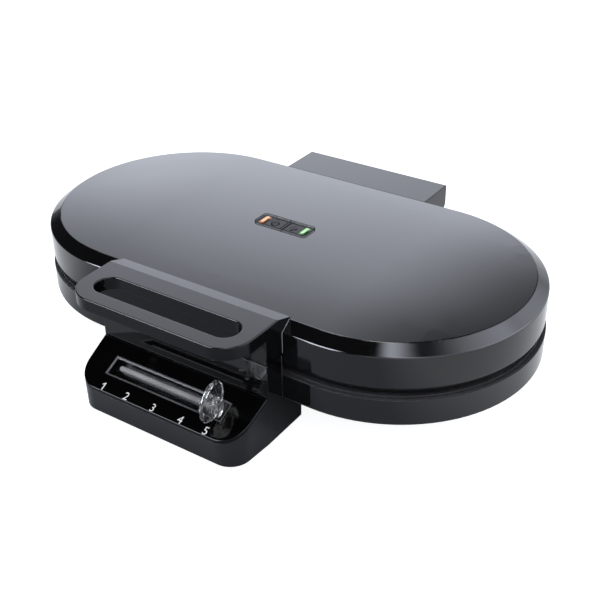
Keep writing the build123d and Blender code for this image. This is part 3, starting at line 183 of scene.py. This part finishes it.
def moulded(
    name,
    colour,
    rough,
    swing=0.06,
    vary=0.25,
    grain=0.0,
    grain_scale=4000.0,
    edge=0.0,
    under=0.0,
    rim=False,
    metal=0.0,
    ior=1.5,
    specular=0.5,
    glow=WHITE,
    glow_strength=0.0,
):
    """Moulded or plain finish: the colour varies by the share vary and the roughness by swing.

    With grain it has fine bumps, and edges rounded by the radius edge. With under it is
    duller below, as duller_underside says.
    """
    m = new_material(name)
    tree = m.node_tree
    dark = opaque(c * (1 - vary) for c in colour)
    pale = opaque(min(1.0, c * (1 + vary)) for c in colour)
    cloud = spread(tree, noise(tree, CLOUD_SCALE, 4.0), 0.0, 1.0)
    fine = noise(tree, GLOSS_SCALE, 5.0, 0.6)
    gloss = spread(tree, fine, max(LEAST_ROUGH, rough - swing), rough + swing)
    if under:
        gloss = duller_underside(tree, gloss, under, rim)
    values = {
        "Base Color": blend_colours(tree, cloud, dark, pale),
        "Roughness": gloss,
        "Metallic": metal,
        "IOR": ior,
        "Specular IOR Level": specular,
        "Emission Color": opaque(glow),
        "Emission Strength": glow_strength,
    }
    if grain:
        bump = {"Strength": grain, "Distance": GRAIN_DEPTH, "Height": noise(tree, grain_scale, 3.0)}
        if edge:
            bump["Normal"] = add_node(tree, "ShaderNodeBevel", {"Radius": edge}, samples=6).outputs["Normal"]
        values["Normal"] = add_node(tree, "ShaderNodeBump", bump).outputs["Normal"]
    shader = add_node(tree, "ShaderNodeBsdfPrincipled", values)
    add_node(tree, "ShaderNodeOutputMaterial", {"Surface": shader.outputs["BSDF"]})
    return m


# How deep below the panel's face the trim's pale band reaches, which is a painted highlight, and how softly
# it turns to the black of the painted shade inside the slot
TRIM_HIGHLIGHT_BAND = 0.0008
TRIM_BLEND = 0.0002
SLOT_PAINTED_SHADE = (0.002, 0.002, 0.002)


def trim_painted_light():
    """Slot trim: a pale grey band near the panel's face as a painted highlight on its rim, and black deeper
    in as painted shade inside the slot.
    """
    m = moulded("trim_grey", (0.10, 0.10, 0.107), 0.30, grain=0.02)
    tree = m.node_tree
    place = add_node(tree, "ShaderNodeNewGeometry").outputs["Position"]
    dot = add_node(tree, "ShaderNodeVectorMath", {0: place, 1: SLOPE_OUT}, operation="DOT_PRODUCT")
    shade_start = PANEL.dot(SLOPE_OUT) - TRIM_HIGHLIGHT_BAND
    share = carry(tree, dot.outputs["Value"], shade_start - TRIM_BLEND, shade_start)
    # Pale grey at the panel's face is a painted highlight, and black deeper in is painted shade.
    colour = tree.nodes["Principled BSDF"].inputs["Base Color"]
    pale = colour.links[0].from_socket
    tree.links.new(blend_colours(tree, share, opaque(SLOT_PAINTED_SHADE), pale), colour)
    return m


def clear(name, colour, rough, ior):
    """Clear moulded acrylic with faint unevenness."""
    m = new_material(name)
    tree = m.node_tree
    bump = {"Strength": 0.30, "Distance": 0.0008, "Height": noise(tree, 260.0)}
    values = {
        "Base Color": opaque(colour),
        "Transmission Weight": 0.99,
        "IOR": ior,
        "Roughness": spread(tree, noise(tree, 300.0), max(0.0, rough - 0.02), rough + 0.03),
        "Normal": add_node(tree, "ShaderNodeBump", bump).outputs["Normal"],
    }
    shader = add_node(tree, "ShaderNodeBsdfPrincipled", values)
    add_node(tree, "ShaderNodeOutputMaterial", {"Surface": shader.outputs["BSDF"]})
    return m


# The finish of each material slot in the record, and of three nodes that differ from theirs
FINISH = {
    "gloss_black": moulded("gloss_black", BLACK, 0.08, **POLISHED, edge=0.0006, under=0.22),
    "console_grey": moulded("console_grey", (0.002, 0.002, 0.0022), 0.06, **POLISHED, edge=0.0004),
    "panel_black": moulded(
        "panel_black",
        (0.0010, 0.0010, 0.0012),
        0.10,
        swing=0.01,
        grain=0.003,
        grain_scale=500.0,
        edge=0.0004,
        specular=0.15,
    ),
    "trim_grey": trim_painted_light(),
    "rail_grey": moulded("rail_grey", (0.27, 0.278, 0.297), 0.55, grain=0.05, specular=0.05),
    "crystal": clear("crystal", (0.96, 0.97, 0.98), 0.03, 1.49),
    "black_plastic": moulded("black_plastic", (0.02, 0.02, 0.021), 0.45, grain=0.25),
    "rubber": moulded("rubber", (0.018, 0.018, 0.018), 0.75, grain=0.4),
    "baking_plate": moulded(
        "baking_plate", (0.028, 0.028, 0.030), 0.42, swing=0.08, grain=0.35, grain_scale=5200.0
    ),
    "heater_steel": moulded("heater_steel", (0.22, 0.18, 0.15), 0.40, grain=0.1, metal=1.0),
    "steel": moulded("steel", (0.56, 0.56, 0.58), 0.30, grain=0.08, metal=1.0),
    "sheet_metal": moulded("sheet_metal", (0.70, 0.71, 0.73), 0.34, grain=0.1, metal=1.0),
    "board": moulded("board_green", (0.02, 0.16, 0.06), 0.35, grain=0.1),
    "component_black": moulded("component_black", (0.02, 0.02, 0.024), 0.45, grain=0.2),
    "component_blue": moulded("component_blue", (0.03, 0.10, 0.35), 0.35, grain=0.1),
    "terminal_white": moulded("terminal_white", (0.62, 0.60, 0.55), 0.45, vary=0.06, grain=0.1),
    "wire_jacket": moulded("wire_jacket", (0.55, 0.52, 0.45), 0.5, vary=0.1, grain=0.15),
    "window_smoke": moulded(
        "window_smoke", (0.009, 0.0098, 0.0115), 0.16, swing=0.03, vary=0.12, specular=0.08
    ),
    "lens_orange": moulded(
        "lens_orange",
        (0.36, 0.10, 0.015),
        0.20,
        vary=0.12,
        specular=0.2,
        glow=(1.0, 0.35, 0.06),
        glow_strength=0.03,
    ),
    "lens_green": moulded(
        "lens_green",
        (0.03, 0.16, 0.025),
        0.20,
        vary=0.12,
        specular=0.2,
        glow=(0.20, 1.0, 0.18),
        glow_strength=0.02,
    ),
    "lamp_clear": clear("lamp_clear", (0.95, 0.93, 0.85), 0.05, 1.5),
}
BY_NODE = {
    "lid_handle": moulded(
        "handle_satin", (0.002, 0.002, 0.0023), 0.16, **POLISHED, edge=0.0006, specular=0.24
    ),
    "base_shell": moulded("base_black", BLACK, 0.08, **POLISHED, under=0.85, rim=True),
    "hinge_cap": moulded("cap_black", BLACK, 0.08, **POLISHED, edge=0.0006, specular=0.31),
}
for part in frame["record"]["subparts"]:
    materials = frame["nodes"][part["node"]].data.materials
    materials.clear()
    materials.append(BY_NODE.get(part["node"], FINISH[part["material_slot"]]))

# Numbers printed on the panel. The figure one is an outline whose height is 1.

DIGIT_HEIGHT = 0.0057
DIGIT_THICK = 0.00005
DIGIT_RISE = 0.00001
DIGIT_ROW = -0.0360
DIGIT_PLACES = {"1": -0.0442, "2": -0.0232, "3": 0.0, "4": 0.0232, "5": 0.0440}
FLAGGED_ONE = [(0.30, 1.0), (0.46, 1.0), (0.46, 0.0), (0.29, 0.0), (0.29, 0.76), (0.06, 0.62), (0.06, 0.77)]
POINT_MERGE = 1e-6

digit_white = moulded("digit_white", (0.80, 0.81, 0.83), 0.45, vary=0.03)


def on_panel(x, s, n):
    """Point on the panel at x, s up the slope and n above its face."""
    return PANEL + Vector((x, 0, 0)) + SLOPE_UP * s + SLOPE_OUT * n


def number_one():
    """Flat figure one with a flag, because the plain font has a bare stroke."""
    bm = bmesh.new()
    bm.faces.new([bm.verts.new((x, y, 0)) for x, y in reversed(FLAGGED_ONE)])
    return store(bm, bpy.data.meshes.new("digit_1"))


def font_number(text):
    """Flat figure from the plain font."""
    curve = bpy.data.curves.new(f"digit_{text}", "FONT")
    curve.body = text
    curve.size = 1.0
    curve.resolution_u = 6
    return mesh_of(f"digit_{text}", curve)


def digit(text, x):
    """One printed number, lying just proud of the panel."""
    mesh = number_one() if text == "1" else font_number(text)
    xs = [v.co.x for v in mesh.vertices]
    ys = [v.co.y for v in mesh.vertices]
    scale = DIGIT_HEIGHT / (max(ys) - min(ys))
    mid = Vector(((max(xs) + min(xs)) / 2, (max(ys) + min(ys)) / 2, 0))
    bm = bmesh.new()
    bm.from_mesh(mesh)
    bmesh.ops.translate(bm, verts=bm.verts, vec=-mid)
    bmesh.ops.scale(bm, verts=bm.verts, vec=(scale, scale, 1))
    bmesh.ops.remove_doubles(bm, verts=bm.verts, dist=POINT_MERGE)
    thicken(bm, DIGIT_THICK)
    o = dressed_object(f"digit_{text}", store(bm, mesh), digit_white)
    basis = Matrix((Vector((1, 0, 0)), SLOPE_UP, SLOPE_OUT)).transposed().to_4x4()
    o.matrix_world = Matrix.Translation(on_panel(x, DIGIT_ROW, DIGIT_RISE)) @ basis
    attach(o, "base")


for text, x in DIGIT_PLACES.items():
    digit(text, x)

# Signal window detail. The pieces lie 1 mm over the face of the window, which is at 0.09188.
# A size is a length, a width and a corner radius.

PRINT_Z = 0.0929
FRAME_SIZE = (0.0452, 0.0162, 0.0029)
FRAME_HOLE = (0.0440, 0.0146, 0.0023)
DIVIDER_SIZE = (0.0011, 0.0145, 0.0004)
RING_SIZE = (0.0066, 0.0066, 0.0033)
RING_HOLE = (0.0044, 0.0044, 0.0022)
DASH_SIZE = (0.0060, 0.0014, 0.0006)
HEATING_SIZE = (0.0027, 0.0095, 0.0012)
READY_SIZE = (0.0026, 0.0090, 0.0011)
FRAME_THICK = 0.00009
DIVIDER_THICK = 0.00005
MARK_THICK = 0.00004
GLOW_THICK = 0.00007
DASH_TURN = 0.9
CORNER_STEPS = 6

window_edge = moulded("window_edge", (0.004, 0.004, 0.005), 0.35, vary=0.2, ior=1.1)
window_mark = moulded("window_mark", (0.006, 0.006, 0.008), 0.35, vary=0.2, ior=1.16)
glow_orange = moulded(
    "glow_orange",
    (0.62, 0.40, 0.22),
    0.30,
    vary=0.20,
    specular=0.2,
    glow=(1.0, 0.62, 0.34),
    glow_strength=0.12,
)
glow_green = moulded(
    "glow_green",
    (0.38, 0.62, 0.32),
    0.30,
    vary=0.20,
    specular=0.2,
    glow=(0.55, 1.0, 0.45),
    glow_strength=0.10,
)


def rounded(length, width, radius):
    """Points round a rectangle with round corners, anticlockwise from the right."""
    points = []
    for k, (sx, sy) in enumerate(((1, 1), (-1, 1), (-1, -1), (1, -1))):
        for i in range(CORNER_STEPS + 1):
            a = math.pi / 2 * (k + i / CORNER_STEPS)
            centre = (sx * (length / 2 - radius), sy * (width / 2 - radius))
            points.append((centre[0] + radius * math.cos(a), centre[1] + radius * math.sin(a)))
    return points


def on_window(name, size, x, y, thick, material, hole=None, turn=0.0):
    """Thin piece over the window, placed from the middle of the body, solid or with a hole."""
    bm = bmesh.new()
    outer = [bm.verts.new((px, py, 0)) for px, py in rounded(*size)]
    if hole:
        inner = [bm.verts.new((px, py, 0)) for px, py in rounded(*hole)]
        n = len(outer)
        for i in range(n):
            bm.faces.new((outer[i], outer[(i + 1) % n], inner[(i + 1) % n], inner[i]))
    else:
        bm.faces.new(outer)
    thicken(bm, thick)
    o = dressed_object(name, store(bm, bpy.data.meshes.new(name)), material)
    o.matrix_world = Matrix.Translation((x, BODY_Y + y, PRINT_Z)) @ Matrix.Rotation(turn, 4, "Z")
    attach(o, "lid")


on_window("window_frame", FRAME_SIZE, 0, 0, FRAME_THICK, window_edge, hole=FRAME_HOLE)
on_window("window_divider", DIVIDER_SIZE, 0.0009, 0, DIVIDER_THICK, window_edge)
on_window("heating_mark", RING_SIZE, -0.0085, 0.0002, MARK_THICK, window_mark, hole=RING_HOLE)
on_window("ready_mark", DASH_SIZE, 0.0082, -0.0006, MARK_THICK, window_mark, turn=DASH_TURN)
on_window("heating_glow", HEATING_SIZE, -0.0168, -0.0006, GLOW_THICK, glow_orange)
on_window("ready_glow", READY_SIZE, 0.0182, -0.0008, GLOW_THICK, glow_green)

# Thin pale beads where the handle and the pillar meet the walls, in the same values as the
# solids: painted highlight lines along those edges. The heights stop just short of the parting
# and of the lid's domed top.

PILLAR_HALF = 0.070
PILLAR_FOOT_IN = 0.0004
LID_WALL_R = 0.105
LID_TOP_R = 0.0965
BASE_R = 0.106
BASE_LOW_Z = 0.0316
SEAM_LOW_Z = 0.0648
SEAM_HIGH_Z = 0.0662
LID_EDGE_Z = 0.0814
LID_TOP_Z = 0.0872
BEAD = 0.00035
THIN_BEAD = 0.00022

# Pale grey for the handle's edges and dimmer grey for the pillar's: both are painted highlight lines.
painted_highlight_grey = moulded("painted_highlight_grey", (0.20, 0.205, 0.22), 0.45, vary=0.1)
painted_faint_highlight = moulded("painted_faint_highlight", (0.07, 0.072, 0.078), 0.45, vary=0.1)


def highlight_bead(name, places, thick, body, material):
    """Thin round bead along a line, where a moulding meets the wall behind it, pale as a painted highlight
    on that edge.
    """
    curve = bpy.data.curves.new(name, "CURVE")
    curve.dimensions = "3D"
    curve.bevel_depth = thick
    curve.bevel_resolution = 3
    curve.use_fill_caps = True
    line = curve.splines.new("POLY")
    line.points.add(len(places) - 1)
    for point, place in zip(line.points, places):
        point.co = (*place, 1.0)
    o = dressed_object(name, mesh_of(name, curve), material)
    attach(o, body)


for side, place in ((-1, "left"), (1, "right")):
    x = side * PILLAR_HALF
    lid_line = [
        (x, BODY_Y - LID_WALL_R, SEAM_HIGH_Z),
        (x, BODY_Y - LID_WALL_R, LID_EDGE_Z),
        (x, BODY_Y - LID_TOP_R, LID_TOP_Z),
    ]
    highlight_bead(f"handle_highlight_{place}", lid_line, BEAD, "lid", painted_highlight_grey)
    base_line = [(x - side * PILLAR_FOOT_IN, BODY_Y - BASE_R, BASE_LOW_Z), (x, BODY_Y - BASE_R, SEAM_LOW_Z)]
    highlight_bead(f"pillar_highlight_{place}", base_line, THIN_BEAD, "base", painted_faint_highlight)

# Floor: a pale table to the object's own light, and glowing for the camera. Reflections find it
# brighter behind and beside the object than in front of it: that glow is painted light seen only in
# reflections, and its absence in front of the object and under its front is a painted shadow.

FLOOR_R = 6.0
FLOOR_GREY = (0.46, 0.49, 0.55)
FLOOR_SEEN = 0.90
FLOOR_REFLECTED = 0.56
FLOOR_THROUGH = 0.5
SHADOW_EDGE_BEHIND = (-0.03, 0.07)
SHADOW_EDGE_BESIDE = (0.17, 0.25)


def floor_finish():
    """Grey table with a glow that depends on how it is seen, and where; the glow seen in reflections leaves
    a painted shadow in front of the object and under its front.
    """
    m = new_material("floor_white")
    tree = m.node_tree
    path = add_node(tree, "ShaderNodeLightPath").outputs
    x, y, _ = parts_of(tree, add_node(tree, "ShaderNodeNewGeometry").outputs["Position"])
    # The reflected glow rises behind and beside the object and stays off in front of it and under its front,
    # as a painted shadow.
    beside = carry(tree, arithmetic(tree, "ABSOLUTE", x), *SHADOW_EDGE_BESIDE)
    beyond_painted_shadow = arithmetic(tree, "MAXIMUM", carry(tree, y, *SHADOW_EDGE_BEHIND), beside)
    seen = arithmetic(tree, "MULTIPLY", path["Is Camera Ray"], FLOOR_SEEN)
    pale = arithmetic(tree, "MULTIPLY", beyond_painted_shadow, FLOOR_REFLECTED)
    shine = arithmetic(tree, "MULTIPLY_ADD", path["Is Glossy Ray"], pale, seen)
    strength = arithmetic(tree, "MULTIPLY_ADD", path["Is Transmission Ray"], FLOOR_THROUGH, shine)
    glow = add_node(tree, "ShaderNodeEmission", {"Color": opaque(WHITE), "Strength": strength})
    diffuse = add_node(tree, "ShaderNodeBsdfDiffuse", {"Color": opaque(FLOOR_GREY)})
    both = add_node(tree, "ShaderNodeAddShader", {0: diffuse.outputs["BSDF"], 1: glow.outputs["Emission"]})
    add_node(tree, "ShaderNodeOutputMaterial", {"Surface": both.outputs["Shader"]})
    return m


bm = bmesh.new()
bmesh.ops.create_circle(bm, cap_ends=True, segments=96, radius=FLOOR_R)
floor = dressed_object("floor", store(bm, bpy.data.meshes.new("floor")), floor_finish())

# World: reflections see a dark studio with soft bright fields, all else sees white

DEGREES = 180 / math.pi
LEAN_FROM = 20.0
STUDIO_DARK = 0.04
STUDIO_TINT = (0.925, 0.972, 1.09)
PLAIN_LIGHT = 1.05
WHITE_SEEN = 1.0
WHITE_THROUGH = 1.4

# Each field has its left edge, its right edge, the right edge's lean, its low edge, its
# high edge and its strength. An edge is where the light starts and where it is full, in
# degrees: round the compass from the rear, positive towards +X, or over the horizon.
FIELDS = (
    ((-74, -43), (3, -23), 0.7, (-13.5, 16), (74, 14), 2.6),
    ((-65, -25), (-19, -62), -1.5, (15, 19), (48, 32), 1.0),
    ((-6, 34), (109, 74), 0.2, (-22, 7), (85, 33), 2.9),
    ((36, 46), (139, 81), -0.6, (-71, -14), (78, 48), 1.6),
    ((104, 152), (152, 124), -0.5, (29, 52), (89, 80), 6.6),
    ((-78, -72), (-54, -63), -0.7, (40, 51), (73, 56), 3.9),
    ((-174, -166), (-128, -136), 0.0, (2, 6), (44, 37), 20.0),
    ((92, 118), (179, 165), 0.0, (-6, 6), (40, 24), 1.6),
)

world = bpy.data.worlds.new("studio")
bpy.context.scene.world = world
world.use_nodes = True
sky = world.node_tree
sky.nodes.clear()
sky_x, sky_y, sky_z = parts_of(sky, add_node(sky, "ShaderNodeTexCoord").outputs["Generated"])
compass = arithmetic(sky, "MULTIPLY", arithmetic(sky, "ARCTAN2", sky_x, sky_y), DEGREES)
height = arithmetic(sky, "MULTIPLY", arithmetic(sky, "ARCSINE", sky_z), DEGREES)


def softbox(left, right, lean, low, high, strength):
    """Soft-edged bright field in the studio."""
    turned = arithmetic(sky, "MULTIPLY_ADD", arithmetic(sky, "SUBTRACT", height, LEAN_FROM), lean, compass)
    across = arithmetic(sky, "MULTIPLY", soft_step(sky, compass, *left), soft_step(sky, turned, *right))
    tall = arithmetic(sky, "MULTIPLY", soft_step(sky, height, *low), soft_step(sky, height, *high))
    return arithmetic(sky, "MULTIPLY", arithmetic(sky, "MULTIPLY", across, tall), strength)


def background(colour, strength):
    """One sky of a colour and a strength."""
    values = {"Color": opaque(colour), "Strength": strength}
    return add_node(sky, "ShaderNodeBackground", values).outputs["Background"]


def either_sky(share, one, two):
    """The first sky where share is 0 and the second where it is 1."""
    return add_node(sky, "ShaderNodeMixShader", {0: share, 1: one, 2: two}).outputs["Shader"]


studio = STUDIO_DARK
for field in FIELDS:
    studio = arithmetic(sky, "ADD", softbox(*field), studio)
ray = add_node(sky, "ShaderNodeLightPath").outputs
reflected = either_sky(ray["Is Glossy Ray"], background(WHITE, PLAIN_LIGHT), background(STUDIO_TINT, studio))
white_strength = arithmetic(sky, "MULTIPLY_ADD", ray["Is Transmission Ray"], WHITE_THROUGH, WHITE_SEEN)
straight = arithmetic(sky, "MAXIMUM", ray["Is Camera Ray"], ray["Is Transmission Ray"])
whole_sky = either_sky(straight, reflected, background(WHITE, white_strength))
add_node(sky, "ShaderNodeOutputWorld", {"Surface": whole_sky})

# One weak soft lamp straight above, which shines down as it is made

lamp_data = bpy.data.lights.new("top_soft", "AREA")
lamp_data.size = 0.5
lamp_data.energy = 10.0
lamp = add_object("top_soft", lamp_data)
lamp.location = (0.0, 0.0, 2.2)

# Camera, fitted to the outline in the photograph

AZ = math.radians(34.36)
EL = math.radians(31.52)
ROLL = math.radians(-0.95)
DISTANCE = 0.77211
LOOK = Vector((0.00748, 0.01994, 0.0270))
SENSOR = 36.0
LENS = 60.73

back = Vector((math.sin(AZ) * math.cos(EL), -math.cos(AZ) * math.cos(EL), math.sin(EL)))
level_right = Vector((math.cos(AZ), math.sin(AZ), 0))
level_up = back.cross(level_right)
right = level_right * math.cos(ROLL) + level_up * math.sin(ROLL)
up = level_up * math.cos(ROLL) - level_right * math.sin(ROLL)
camera_data = bpy.data.cameras.new("camera")
camera_data.sensor_width = SENSOR
camera_data.lens = LENS
camera = add_object("camera", camera_data)
turn = Matrix((right, up, back)).transposed().to_4x4()
camera.matrix_world = Matrix.Translation(LOOK + back * DISTANCE) @ turn
bpy.context.scene.camera = camera

bpy.context.scene.view_settings.view_transform = "Standard"
